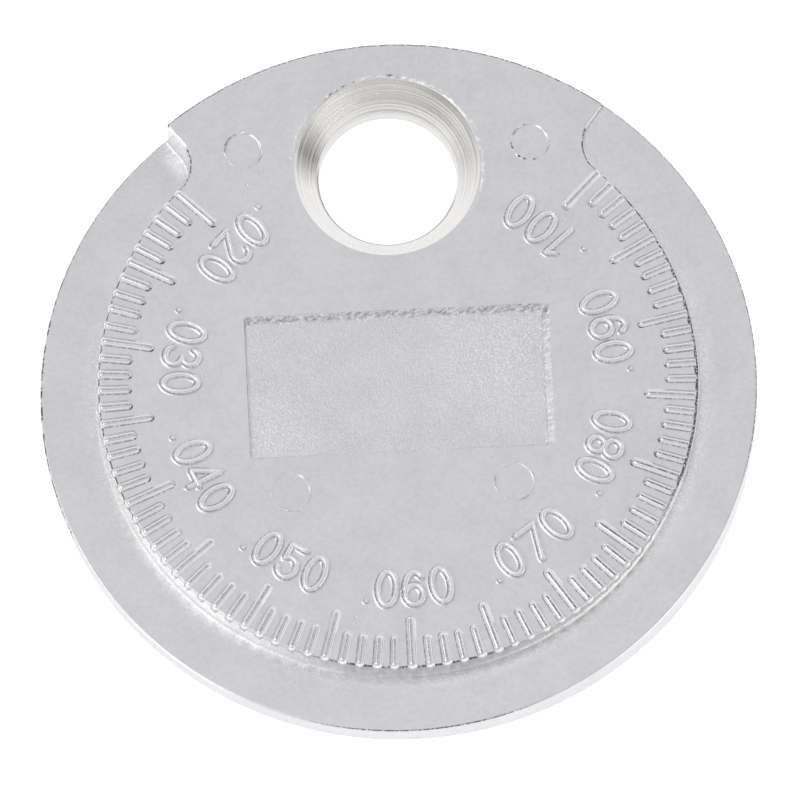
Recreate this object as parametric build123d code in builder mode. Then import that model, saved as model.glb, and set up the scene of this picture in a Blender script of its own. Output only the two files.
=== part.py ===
"""Coin-type spark plug gap gauge, cast in one piece.

A flat disc carries a raised dial. Round the dial runs a measuring ring whose top is a
helical ramp, so its thickness grows evenly from the first mark of the scale to the last.
The sector between the two ends of the ramp keeps the full height and holds a tapered
hole, whose edge bends a plug's electrode.

Lengths are in millimetres and angles in degrees. The origin is the centre of the flat
back, +Z is up out of the scale, and +Y points from the dial's centre to the hole.
"""

import os
from math import radians, tan

from build123d import *

# Scale: readings are the thickness of the ring in thousandths of an inch
thou = 0.0254
first_reading = 20
last_reading = 100
readings_per_long_mark = 5
scale_sweep = 270.0
scale_middle = -90.0

# Disc, dial and ramp
disc_diameter = 36.0
dial_diameter = 30.1
ramp_run_out = 7.25
face_lip = 0.105
channel_corner_radius = 1.85
wall_draft = 2.0
rim_chamfer = 0.15

# Raised marks
mark_width = 0.3
mark_height = 0.15
short_mark_length = 1.7
long_mark_length = 2.7

# Tapered hole
hole_distance = 11.45
bore_diameter = 7.0
mouth_diameter = 9.4
cone_angle = 64.0

# Recess in the middle of the dial
recess_length = 15.3
recess_width = 7.5
recess_depth = 0.4
recess_corner_radius = 0.4
recess_draft = 30.0

# Sizes worked out from the ones above
disc_radius = disc_diameter / 2
dial_radius = dial_diameter / 2
reading_range = last_reading - first_reading
rise_per_degree = reading_range * thou / scale_sweep
first_mark_angle = scale_middle - scale_sweep / 2
ramp_start = first_mark_angle - ramp_run_out
ramp_sweep = scale_sweep + 2 * ramp_run_out
ramp_start_height = first_reading * thou - ramp_run_out * rise_per_degree
ramp_end_height = ramp_start_height + ramp_sweep * rise_per_degree
face_height = ramp_end_height + face_lip

# The space above the ramp reaches this far past the rim and above the face, and an eighth
# of the solid sector past each end wall of the channel, so that it cuts cleanly
overrun = 1.0
overrun_angle = (360 - ramp_sweep) / 8
overrun_start = ramp_start - overrun_angle
overrun_sweep = ramp_sweep + 2 * overrun_angle
overrun_start_height = ramp_start_height - overrun_angle * rise_per_degree

# Space above the ramp: an upright rectangle carried along a helix, so that its floor is
# level along every radius and climbs by the same amount for every degree. It is drawn
# from +X, and is turned to the start of the ramp where it is used.
helix_radius = (dial_radius + disc_radius) / 2
space_width = disc_radius - dial_radius + 2 * (overrun + face_height * tan(radians(wall_draft)))
space_height = face_height + overrun - overrun_start_height

with BuildPart() as ramp_space:
    with BuildLine() as ramp_path:
        Helix(
            pitch=360 * rise_per_degree,
            height=overrun_sweep * rise_per_degree,
            radius=helix_radius,
            center=(0, 0, overrun_start_height),
        )
    with BuildSketch(Plane(ramp_path.line @ 0, x_dir=(-1, 0, 0), z_dir=ramp_path.line % 0)):
        Rectangle(space_width, space_height, align=(Align.CENTER, Align.MIN))
    sweep(is_frenet=True)

# Channel round the dial: its outline on the face, drawn down with draft, and closed
# below by the ramp
with BuildPart() as channel:
    with BuildSketch(Plane.XY.offset(face_height)) as channel_outline:
        with BuildLine():
            dial_side = CenterArc((0, 0), dial_radius, ramp_start, ramp_sweep)
            rim_side = CenterArc((0, 0), disc_radius + 2 * overrun, ramp_start, ramp_sweep)
            Line(dial_side @ 0, rim_side @ 0)
            Line(dial_side @ 1, rim_side @ 1)
        make_face()
        fillet(channel_outline.vertices().sort_by_distance((0, 0))[:2], channel_corner_radius)
    extrude(amount=-face_height, taper=wall_draft)
    extrude(channel_outline.sketch, amount=overrun)
    add(ramp_space.part, rotation=(0, 0, overrun_start), mode=Mode.INTERSECT)

with BuildPart() as gauge_disc:
    # Blank, with both edges of its rim broken before the channel and the hole are cut
    Cylinder(disc_radius, face_height, align=(Align.CENTER, Align.CENTER, Align.MIN))
    chamfer(gauge_disc.edges().filter_by(GeomType.CIRCLE), rim_chamfer)
    add(channel.part, mode=Mode.SUBTRACT)

    face = Plane.XY.offset(face_height)

    # Tapered hole with a short straight land at the back
    with Locations(face * Location((0, hole_distance, 0))):
        CounterSinkHole(bore_diameter / 2, mouth_diameter / 2, counter_sink_angle=cone_angle)

    # Shallow recess with sloping walls
    with BuildSketch(face):
        RectangleRounded(recess_length, recess_width, recess_corner_radius)
    extrude(amount=-recess_depth, taper=recess_draft, mode=Mode.SUBTRACT)

    # Raised marks: round inner ends, outer ends flush with the edge of the dial
    with BuildSketch(face):
        for length, step in ((short_mark_length, 1), (long_mark_length, readings_per_long_mark)):
            inner_end = dial_radius - length
            slot_length = length + mark_width
            with PolarLocations(
                inner_end + slot_length / 2,
                reading_range // step + 1,
                start_angle=first_mark_angle,
                angular_range=scale_sweep,
                endpoint=True,
            ):
                SlotOverall(slot_length, mark_width)
        Circle(dial_radius, mode=Mode.INTERSECT)
    extrude(amount=mark_height)

gauge_disc.part.label = "gauge_disc"

os.makedirs("parts", exist_ok=True)
export_step(gauge_disc.part, "parts/gauge_disc.step")
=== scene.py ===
"""Studio model of a coin-type spark plug gap gauge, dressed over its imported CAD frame.

The gauge is one plated casting. Here it is made of a dial plate, a ramp ring that follows the
rule of the scale, the raised ribs and numbers of the scale, and the small marks that the mould
leaves. Sizes are in millimetres and angles in degrees, and meshes are written in metres, in
the frame of the CAD model.
"""

import logging
import math
from collections.abc import Callable, Iterable, Sequence
from dataclasses import dataclass, field
from enum import Enum

import bmesh
import bpy
from mathutils import Matrix, Vector, noise
from mathutils.geometry import delaunay_2d_cdt


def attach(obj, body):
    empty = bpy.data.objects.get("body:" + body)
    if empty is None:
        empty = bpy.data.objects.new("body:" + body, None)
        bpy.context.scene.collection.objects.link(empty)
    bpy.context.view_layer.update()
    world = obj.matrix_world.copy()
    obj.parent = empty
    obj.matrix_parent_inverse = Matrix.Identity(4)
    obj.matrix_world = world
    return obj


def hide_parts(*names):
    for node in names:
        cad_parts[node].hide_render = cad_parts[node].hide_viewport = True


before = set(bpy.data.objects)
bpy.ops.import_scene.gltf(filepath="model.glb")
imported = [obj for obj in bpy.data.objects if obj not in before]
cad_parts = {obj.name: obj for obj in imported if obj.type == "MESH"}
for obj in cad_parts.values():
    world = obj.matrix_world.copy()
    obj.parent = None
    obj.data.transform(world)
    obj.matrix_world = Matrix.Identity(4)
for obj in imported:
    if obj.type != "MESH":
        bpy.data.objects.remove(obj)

LOG = logging.getLogger("gap_gauge")
MM = 0.001
BODY = "root"
NODE = "gauge_disc"

MARKS = ("lift", "tone", "grit", "relief")
WHITE = (1.0, 1.0, 1.0, 1.0)
UP = Vector((0.0, 0.0, 1.0))

# Shading: the least upright part of a level face's normal, how much more such a face weighs,
# and how near to its piece's foot, in millimetres, a point takes on the face's normal
LEVEL_NORMAL = 0.99999
LEVEL_WEIGHT = 1e5
FOOT_BAND = 0.003

Point2 = tuple[float, float]
Point3 = tuple[float, float, float]


# Node graphs, for materials and for Geometry Nodes


class Value:
    """One output socket of a node graph, which takes part in sums."""

    def __init__(self, graph: "Graph", socket: bpy.types.NodeSocket) -> None:
        """Keep the graph that new nodes go to, and the socket.

        Args:
            graph: The graph that the socket belongs to.
            socket: An output socket.
        """
        self.graph = graph
        self.socket = socket

    def math(self, operation: str, *others: "Value | float") -> "Value":
        """Add a Math node with this value as its first operand.

        Args:
            operation: The Math node's operation.
            others: Its other operands.

        Returns:
            The node's result.
        """
        return self.graph.math(operation, self, *others)

    def __add__(self, other: "Value | float") -> "Value":
        """Return this plus other."""
        return self.math("ADD", other)

    def __radd__(self, other: float) -> "Value":
        """Return other plus this."""
        return self.graph.math("ADD", other, self)

    def __sub__(self, other: "Value | float") -> "Value":
        """Return this less other."""
        return self.math("SUBTRACT", other)

    def __rsub__(self, other: float) -> "Value":
        """Return other less this."""
        return self.graph.math("SUBTRACT", other, self)

    def __mul__(self, other: "Value | float") -> "Value":
        """Return this times other."""
        return self.math("MULTIPLY", other)

    def __rmul__(self, other: float) -> "Value":
        """Return other times this."""
        return self.graph.math("MULTIPLY", other, self)

    def __truediv__(self, other: "Value | float") -> "Value":
        """Return this over other."""
        return self.math("DIVIDE", other)

    def __rtruediv__(self, other: float) -> "Value":
        """Return other over this."""
        return self.graph.math("DIVIDE", other, self)

    def __pow__(self, other: "Value | float") -> "Value":
        """Return this to the power other."""
        return self.math("POWER", other)

    def step(self, low: float, high: float) -> "Value":
        """Return a smooth step of this value, 0 up to low and 1 from high.

        Args:
            low: Where the step starts.
            high: Where it ends. It may be below low, for a falling step.

        Returns:
            The step.
        """
        settings = {"interpolation_type": "SMOOTHSTEP"}
        sockets = {"Value": self, "From Min": low, "From Max": high}
        return self.graph.node("ShaderNodeMapRange", settings, sockets)

    def band(self, centre: float, half_width: float) -> "Value":
        """Return 1 at centre, falling smoothly to 0 at half_width to each side."""
        return (self - centre).math("ABSOLUTE").step(half_width, 0.0)


class Graph:
    """A node tree that is written as Python expressions."""

    def __init__(self, tree: bpy.types.NodeTree) -> None:
        """Start with an empty tree.

        Args:
            tree: The tree to fill. Its nodes are removed.
        """
        self.tree = tree
        self.tree.nodes.clear()

    def node(
        self,
        kind: str,
        settings: dict[str, object] | None = None,
        sockets: dict[str | int, object] | None = None,
        output: str | int = 0,
    ) -> Value:
        """Add a node, set it, fill or link its sockets, and return one of its outputs.

        Args:
            kind: The node's type.
            settings: Its properties, which are set first.
            sockets: Values or links of its input sockets, by name or by number.
            output: The output socket to return, by name or by number.

        Returns:
            The output, as a Value.
        """
        made = self.tree.nodes.new(kind)
        for name, setting in (settings or {}).items():
            setattr(made, name, setting)
        for name, filling in (sockets or {}).items():
            self.fill(made.inputs[name], filling)
        shown = [socket for socket in made.outputs if socket.enabled]
        if not shown:
            return Value(self, None)
        return Value(self, shown[output] if isinstance(output, int) else made.outputs[output])

    def fill(self, socket: bpy.types.NodeSocket, filling: object) -> None:
        """Link or set one input socket.

        Args:
            socket: The input.
            filling: A Value to link, a list of Values for a socket that takes several, or a
                plain value to set.
        """
        if isinstance(filling, Value):
            self.tree.links.new(filling.socket, socket)
        elif isinstance(filling, list):
            for value in filling:
                self.fill(socket, value)
        else:
            socket.default_value = filling

    def math(self, operation: str, *operands: Value | float) -> Value:
        """Add a Math node.

        Args:
            operation: Its operation.
            operands: Its operands in order.

        Returns:
            Its result.
        """
        return self.node("ShaderNodeMath", {"operation": operation}, dict(enumerate(operands)))

    def vector_math(self, operation: str, *operands: Value | Point3) -> Value:
        """Add a Vector Math node.

        Args:
            operation: Its operation.
            operands: Its vectors in order.

        Returns:
            Its result.
        """
        settings = {"operation": operation}
        return self.node("ShaderNodeVectorMath", settings, dict(enumerate(operands)))

    def vector(self, x: Value | float, y: Value | float, z: Value | float) -> Value:
        """Return a vector made of three values."""
        return self.node("ShaderNodeCombineXYZ", None, {"X": x, "Y": y, "Z": z})

    def parts(self, vector: Value) -> tuple[Value, Value, Value]:
        """Return the three parts of a vector.

        Args:
            vector: The vector.

        Returns:
            Its x, y and z.
        """
        split = self.node("ShaderNodeSeparateXYZ", None, {0: vector}).socket.node
        return tuple(Value(self, split.outputs[axis]) for axis in ("X", "Y", "Z"))

    def colour_mix(self, factor: Value | float, first: object, second: object) -> Value:
        """Blend two colours.

        Args:
            factor: 0 for the first, 1 for the second.
            first: A colour or a link.
            second: A colour or a link.

        Returns:
            The blend.
        """
        sockets = {0: factor, 6: first, 7: second}
        return self.node("ShaderNodeMix", {"data_type": "RGBA"}, sockets)

    def noise(self, place: Value, size: float, detail: float = 2.0, rough: float = 0.5) -> Value:
        """Return a noise between 0 and 1.

        Args:
            place: The coordinates, in metres.
            size: The size of its features, in millimetres.
            detail: How many finer octaves it has.
            rough: How strong those are.

        Returns:
            The noise.
        """
        sockets = {"Vector": place, "Scale": 1 / (size * MM), "Detail": detail, "Roughness": rough}
        return self.node("ShaderNodeTexNoise", None, sockets)

    def specks(self, place: Value, size: float) -> Value:
        """Return the distance to the nearest of many scattered points, in cells.

        Args:
            place: The coordinates, in metres.
            size: The width of a cell, in millimetres.

        Returns:
            The distance.
        """
        return self.node("ShaderNodeTexVoronoi", None, {"Vector": place, "Scale": 1 / (size * MM)})


class GeometryGraph(Graph):
    """A Geometry Nodes tree that shapes one piece, with a named input for each size."""

    KINDS = {
        int: "NodeSocketInt",
        float: "NodeSocketFloat",
        bpy.types.Material: "NodeSocketMaterial",
    }

    def __init__(self, name: str, values: dict[str, int | float | bpy.types.Material]) -> None:
        """Start the tree with its inputs.

        Args:
            name: The tree's name.
            values: The inputs after the geometry, with the value that each is given. One is
                the Material.
        """
        tree = bpy.data.node_groups.new(name, "GeometryNodeTree")
        super().__init__(tree)
        self.values = values
        face = tree.interface
        face.new_socket("Geometry", in_out="INPUT", socket_type="NodeSocketGeometry")
        for entry, value in values.items():
            face.new_socket(entry, in_out="INPUT", socket_type=self.KINDS[type(value)])
        face.new_socket("Geometry", in_out="OUTPUT", socket_type="NodeSocketGeometry")
        sockets = self.node("NodeGroupInput").socket.node.outputs
        self.given = {socket.name: Value(self, socket) for socket in sockets if socket.name}

    def place(self) -> tuple[Value, Value, Value]:
        """Return the x, y and z of each point."""
        return self.parts(self.node("GeometryNodeInputPosition"))

    def mark(self, name: str) -> Value:
        """Return one of the marks that the points carry."""
        settings = {"data_type": "FLOAT"}
        return self.node("GeometryNodeInputNamedAttribute", settings, {"Name": name})

    def marked(self, geometry: Value, marks: dict[str, Value | float]) -> Value:
        """Store marks on the points.

        Args:
            geometry: The geometry.
            marks: The values of the marks, by name.

        Returns:
            The geometry with the marks.
        """
        settings = {"data_type": "FLOAT", "domain": "POINT"}
        for name, value in marks.items():
            sockets = {"Geometry": geometry, "Name": name, "Value": value}
            geometry = self.node("GeometryNodeStoreNamedAttribute", settings, sockets)
        return geometry

    def moved(self, geometry: Value, by: Value) -> Value:
        """Return the geometry with each point moved by a vector."""
        return self.node("GeometryNodeSetPosition", None, {"Geometry": geometry, "Offset": by})

    def shape(self, piece: bpy.types.Object, geometry: Value) -> bpy.types.Object:
        """End the tree, run it on a piece, and leave the piece a plain mesh.

        Args:
            piece: The piece, not evaluated yet.
            geometry: What the tree has made.

        Returns:
            The same piece.
        """
        real = self.node("GeometryNodeRealizeInstances", None, {"Geometry": geometry})
        sockets = {"Geometry": real, "Material": self.given["Material"]}
        dressed = self.node("GeometryNodeSetMaterial", None, sockets)
        self.node("NodeGroupOutput", None, {"Geometry": dressed})
        modifier = piece.modifiers.new(self.tree.name, "NODES")
        modifier.node_group = self.tree
        for item in self.tree.interface.items_tree:
            if item.name in self.values:
                modifier[item.identifier] = self.values[item.name]
        depsgraph = bpy.context.evaluated_depsgraph_get()
        old = piece.data
        piece.data = bpy.data.meshes.new_from_object(
            piece.evaluated_get(depsgraph), depsgraph=depsgraph
        )
        piece.modifiers.clear()
        bpy.data.meshes.remove(old)
        piece.data.name = piece.name
        return piece


# Mesh making


@dataclass
class Shell:
    """Points and faces of one piece, in millimetres, on the way to becoming a mesh."""

    points: list[Point3] = field(default_factory=list)
    faces: list[tuple[int, ...]] = field(default_factory=list)
    finishes: list[int] = field(default_factory=list)
    marks: dict[str, list[float]] = field(default_factory=lambda: {name: [] for name in MARKS})

    def ring(self, points: Iterable[Point3], **marks: float | Sequence[float]) -> list[int]:
        """Add a row of points.

        Args:
            points: The points in order.
            marks: Values of the named marks, one for the row or one for each point. Lift is
            the share of the ramp's height, tone runs from -1 for painted shade and grime to 1
            for painted highlight and polish, and grit is roughness and grain, with painted glint
            specks. Relief grows from a rib's foot to its middle, and is 0 elsewhere.

        Returns:
            Their numbers.
        """
        start = len(self.points)
        self.points.extend(points)
        count = len(self.points) - start
        for name, values in self.marks.items():
            given = marks.get(name, 0.0)
            values.extend([given] * count if isinstance(given, (int, float)) else given)
        return list(range(start, len(self.points)))

    def bridges(self, rows: Sequence[Sequence[int]], closed: bool = True, finish: int = 0) -> None:
        """Join each row to the next with a strip of quads.

        Args:
            rows: The rows, which have the same length.
            closed: Whether they are loops.
            finish: The finish's number.
        """
        count = len(rows[0])
        for first, second in zip(rows, rows[1:]):
            for i in range(count if closed else count - 1):
                j = (i + 1) % count
                self.faces.append((first[i], first[j], second[j], second[i]))
                self.finishes.append(finish)

    def cap(self, row: Sequence[int]) -> None:
        """Close a row with one face."""
        self.faces.append(tuple(row))
        self.finishes.append(0)

    def button(self, rows: Sequence[list[int]], foot: float) -> None:
        """Close loops that run outwards from a middle into a button.

        Args:
            rows: The loops, the innermost first.
            foot: The height of the button's underside.
        """
        self.cap(rows[0])
        last = self.ring((*self.points[number][:2], foot) for number in rows[-1])
        self.bridges([*rows, last])
        self.cap(last)

    def fill(
        self,
        loops: Sequence[Sequence[int]],
        inner: Iterable[Point3] = (),
        finish: int = 0,
        **marks: float | Sequence[float],
    ) -> None:
        """Fill the flat area inside the first loop and outside the others.

        Args:
            loops: Rows of points that are loops, the outer one first.
            inner: Further points inside the area.
            finish: The finish's number.
            marks: Values of the inner points' marks.
        """
        rows = [list(loop) for loop in loops]
        numbers = [number for row in rows for number in row] + self.ring(inner, **marks)
        flat = [Vector(self.points[number][:2]) for number in numbers]
        edges, start = [], 0
        for row in rows:
            edges += [(start + i, start + (i + 1) % len(row)) for i in range(len(row))]
            start += len(row)
        _, _, triangles, origins, _, _ = delaunay_2d_cdt(flat, edges, [], 0, 1e-6)
        outlines = [[self.points[number][:2] for number in row] for row in rows]
        for triangle in triangles:
            corners = [numbers[origins[corner][0]] for corner in triangle]
            middle = [sum(self.points[c][axis] for c in corners) / 3 for axis in (0, 1)]
            held = [encloses(outline, middle) for outline in outlines]
            if held[0] and not any(held[1:]):
                self.faces.append(tuple(corners))
                self.finishes.append(finish)

    def build(self, name: str, materials: Sequence[bpy.types.Material]) -> bpy.types.Object:
        """Make the mesh object, with its doubles merged and its faces turned outwards.

        Args:
            name: The object's name.
            materials: The materials, in the order of the finishes' numbers.

        Returns:
            The object, at the origin.
        """
        mesh = bpy.data.meshes.new(name)
        mesh.from_pydata([[c * MM for c in point] for point in self.points], [], self.faces)
        for material in materials:
            mesh.materials.append(material)
        mesh.polygons.foreach_set("material_index", self.finishes)
        for mark, values in self.marks.items():
            mesh.attributes.new(mark, "FLOAT", "POINT").data.foreach_set("value", values)
        work = bmesh.new()
        work.from_mesh(mesh)
        bmesh.ops.remove_doubles(work, verts=work.verts, dist=1e-8)
        bmesh.ops.dissolve_degenerate(work, edges=work.edges, dist=1e-9)
        loose = [vert for vert in work.verts if not vert.link_faces]
        bmesh.ops.delete(work, geom=loose, context="VERTS")
        bmesh.ops.recalc_face_normals(work, faces=work.faces)
        for face in work.faces:
            face.smooth = True
        work.to_mesh(mesh)
        work.free()
        return new_object(name, mesh)


def encloses(outline: Sequence[Point2], point: Sequence[float]) -> bool:
    """Tell whether a closed outline goes round a point.

    Args:
        outline: The corners of the outline in order.
        point: The point.

    Returns:
        True if the point is inside.
    """
    x, y = point[0], point[1]
    inside = False
    previous = outline[-1]
    for corner in outline:
        if (corner[1] > y) != (previous[1] > y):
            crossing = (previous[0] - corner[0]) * (y - corner[1]) / (previous[1] - corner[1])
            inside ^= x < crossing + corner[0]
        previous = corner
    return inside


def polar(radius: float, degrees: float) -> Point2:
    """Return the point at a radius and an angle from +X."""
    return radius * math.cos(math.radians(degrees)), radius * math.sin(math.radians(degrees))


def spread(first: float, last: float, step: float) -> list[float]:
    """Return evenly spaced values from first to last, both included.

    Args:
        first: The first value.
        last: The last value.
        step: The largest gap allowed between two.

    Returns:
        The values.
    """
    count = max(1, math.ceil(abs(last - first) / step))
    return [first + (last - first) * i / count for i in range(count + 1)]


def new_object(name: str, data: bpy.types.ID) -> bpy.types.Object:
    """Make an object at the origin and put it in the scene.

    Args:
        name: Its name.
        data: Its mesh, lamp or camera.

    Returns:
        The object.
    """
    made = bpy.data.objects.new(name, data)
    bpy.context.scene.collection.objects.link(made)
    return made


def clamped(value: float, low: float, high: float) -> float:
    """Return a value, but not less than low or more than high."""
    return max(low, min(high, value))


def peak(value: float, middle: float, half_width: float) -> float:
    """Return 1 at middle, falling evenly to 0 at half_width to each side."""
    return max(0.0, 1.0 - abs(value - middle) / half_width)


def signed(degrees: float) -> float:
    """Return the same angle between -180 and 180."""
    return (degrees + 180.0) % 360.0 - 180.0


def unevenness(x: float, y: float, z: float, size: float) -> float:
    """Return a smooth random value between about -1 and 1.

    Args:
        x: Place along x, in millimetres.
        y: Place along y.
        z: Place along z, or any number that picks another pattern.
        size: The size of its features.

    Returns:
        The value, which is the same on every run.
    """
    return noise.noise(Vector((x / size + 11.3, y / size - 4.7, z / size + 2.9)))


def settle_normals(piece: bpy.types.Object, foot: float | None = None) -> bpy.types.Object:
    """Let large faces lead the shading, and keep level faces level.

    Args:
        piece: The piece, a plain mesh.
        foot: The height of the face that the piece grows out of, in millimetres, if it is to
            run smoothly into that face.

    Returns:
        The same piece.
    """
    mesh = piece.data
    sums = [Vector() for _ in mesh.vertices]
    for face in mesh.polygons:
        weight = face.area * (LEVEL_WEIGHT if abs(face.normal.z) > LEVEL_NORMAL else 1.0)
        for number in face.vertices:
            sums[number] += face.normal * weight
    for vertex, total in zip(mesh.vertices, sums):
        if foot is not None and abs(vertex.co.z / MM - foot) < FOOT_BAND:
            total += UP
    normals = [total.normalized() if total.length > 0.0 else UP for total in sums]
    mesh.normals_split_custom_set_from_vertices(normals)
    return piece


# Finishes


class Wear(Enum):
    """What the surface of a finish shows besides its plating."""

    CAST = "smooth casting skin"
    TURNED = "rings left by a turning tool"
    BLASTED = "blasted grain"


@dataclass(frozen=True)
class PlatedFinish:
    """Satin plating over a zinc casting: painted highlight and polish on its edges, painted shade
    and grime in its corners.
    """

    name: str
    wear: Wear
    colour: Point3 = (0.765, 0.758, 0.790)
    deep_colour: Point3 = (0.64, 0.635, 0.655)
    # Colours of the painted highlight with some polish, and of the painted shade with some grime
    highlight_and_polish_colour: Point3 = (0.95, 0.943, 0.935)
    shade_and_grime_colour: Point3 = (0.10, 0.097, 0.09)
    roughness: float = 0.30
    bumps: tuple[float, float, float, float] = (0.008, 0.0045, 0.0018, 0.010)
    crumb_bump: float = 0.02
    ring_bump: float = 0.005
    blast_bump: float = 0.015
    rings_per_mm: float = 11.0
    ring_drift: float = 0.02

    def material(self, centre: Point2 = (0.0, 0.0)) -> bpy.types.Material:
        """Make the material.

        Args:
            centre: The axis that turned rings run round, in millimetres.

        Returns:
            The material.
        """
        made = bpy.data.materials.new(self.name)
        made.use_nodes = True
        made.diffuse_color = (*self.colour, 1.0)
        graph = Graph(made.node_tree)
        place = graph.node("ShaderNodeTexCoord", None, None, "Object")
        tone, grit, relief = (self.mark(graph, name) for name in MARKS[1:])
        cloud = graph.noise(place, 1.9, 3.0, 0.55)
        mottle = graph.noise(place, 0.26, 3.0, 0.6)
        fine = graph.noise(place, 0.08, 2.0, 0.6)
        crumbs = graph.noise(place, 0.12, 2.0, 0.6)
        pits = graph.specks(place, 0.62).step(0.12, 0.05) * graph.noise(place, 2.4).step(0.54, 0.62)
        shade = cloud.step(0.35, 0.65) * 0.25 + mottle.step(0.35, 0.7) * 0.4 + pits * 0.8
        cloud_bump, mottle_bump, fine_bump, pit_depth = self.bumps
        height = cloud * cloud_bump + mottle * mottle_bump + fine * fine_bump - pits * pit_depth
        height = height + crumbs * grit * self.crumb_bump
        gloss = self.roughness + (mottle - 0.5) * 0.10
        broken = crumbs.step(0.36, 0.52)
        if self.wear is Wear.TURNED:
            rings = self.rings(graph, place, centre)
            height = height + rings * self.ring_bump
            shade = shade * 0.4 + rings.step(0.3, 0.7) * 0.8
            gloss = gloss - 0.06
            broken = 0.45 + rings.step(0.25, 0.6) * 0.55
        if self.wear is Wear.BLASTED:
            grains = graph.noise(place, 0.10, 1.0, 0.5)
            height = height + grains * self.blast_bump
            shade = shade + grains.step(0.35, 0.7) * 0.3
        # The middle of each rib's crown is darker, in broken specks
        crown = relief.step(0.86, 0.97) * (0.20 + crumbs.step(0.42, 0.58) * 0.32)
        # Painted shade, with some grime: the dark side of the tone, broken up, and the darker
        # crowns
        shade_and_grime = (tone.step(0.0, -1.0) * broken + crown).math("MINIMUM", 1.0)
        # Painted glints: white specks where a surface is gritty
        glint_specks = grit * crumbs.step(0.50, 0.62) * 0.8
        # Painted highlight along the shoulders of the ribs
        shoulder_highlight = relief.band(0.78, 0.14) * (0.45 + mottle.step(0.35, 0.6) * 0.35)
        # Painted highlight, with some polish: the light side of the tone, the shoulders and the
        # glints
        highlight_and_polish = (tone.step(0.0, 1.0) + shoulder_highlight + glint_specks).math("MINIMUM", 1.0)
        colour = graph.colour_mix(shade, (*self.colour, 1.0), (*self.deep_colour, 1.0))
        colour = graph.colour_mix(highlight_and_polish, colour, (*self.highlight_and_polish_colour, 1.0))
        colour = graph.colour_mix(shade_and_grime, colour, (*self.shade_and_grime_colour, 1.0))
        bump = {"Strength": 1.0, "Distance": MM, "Height": height}
        skin = {
            "Base Color": colour,
            "Metallic": 1.0,
            "Roughness": gloss + grit * 0.15 - highlight_and_polish * 0.12 + shade_and_grime * 0.12,
            "Normal": graph.node("ShaderNodeBump", None, bump),
        }
        shader = graph.node("ShaderNodeBsdfPrincipled", None, skin)
        graph.node("ShaderNodeOutputMaterial", None, {"Surface": shader})
        return made

    def mark(self, graph: Graph, name: str) -> Value:
        """Return one of the marks that the mesh carries, 0 where it has none."""
        return graph.node("ShaderNodeAttribute", {"attribute_name": name}, None, "Fac")

    def rings(self, graph: Graph, place: Value, centre: Point2) -> Value:
        """Return fine rings round an axis.

        Args:
            graph: The material's graph.
            place: Object coordinates.
            centre: The axis, in millimetres.

        Returns:
            A value between 0 and 1.
        """
        axis = (centre[0] * MM, centre[1] * MM, 0.0)
        x, y, _ = graph.parts(graph.vector_math("SUBTRACT", place, axis))
        radius = (x * x + y * y) ** 0.5
        drift = graph.noise(place, 1.8, 1.0)
        line = radius * (1 / MM) + drift * self.ring_drift
        sockets = {"W": line, "Scale": self.rings_per_mm, "Detail": 3.0, "Roughness": 0.7}
        return graph.node("ShaderNodeTexNoise", {"noise_dimensions": "1D"}, sockets)


# The gauge's pieces


@dataclass(frozen=True)
class ReadingRule:
    """How the scale's readings, in thousandths of an inch, lie round the disc."""

    thou: float = 0.0254
    first: int = 20
    last: int = 100
    per_long_mark: int = 5
    sweep: float = 270.0
    middle: float = -90.0
    run_out: float = 7.25

    @property
    def first_angle(self) -> float:
        """Return the angle of the first mark."""
        return self.middle - self.sweep / 2

    @property
    def rise(self) -> float:
        """Return how much the ring thickens for each degree."""
        return (self.last - self.first) * self.thou / self.sweep

    @property
    def ramp_start(self) -> float:
        """Return the angle where the ramp starts."""
        return self.first_angle - self.run_out

    @property
    def ramp_end(self) -> float:
        """Return the angle where the ramp ends."""
        return self.first_angle + self.sweep + self.run_out

    def gap(self, degrees: float) -> float:
        """Return how far an angle lies from the nearer end of the ramp, below 0 outside it."""
        return min(degrees - self.ramp_start, self.ramp_end - degrees)

    def angle(self, reading: float) -> float:
        """Return the angle of a reading."""
        share = (reading - self.first) / (self.last - self.first)
        return self.first_angle + share * self.sweep

    def thickness(self, degrees: float) -> float:
        """Return the ring's thickness at an angle between the ramp's ends."""
        return self.first * self.thou + (degrees - self.first_angle) * self.rise


@dataclass(frozen=True)
class OutlinePoint:
    """A point of the dial plate's outline, with the way out of the metal."""

    x: float
    y: float
    out_x: float
    out_y: float
    on_rim: float

    @property
    def around(self) -> float:
        """Return its angle, between -180 and 180."""
        return math.degrees(math.atan2(self.y, self.x))

    def moved(self, distance: float) -> Point2:
        """Return the point moved outwards by a distance."""
        return self.x + self.out_x * distance, self.y + self.out_y * distance


@dataclass(frozen=True)
class Skin:
    """How one side of the recess is finished: its raggedness, its painted light and shade, and its
    grit.
    """

    rough: float
    tone: float
    grit: float = 0.0


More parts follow.
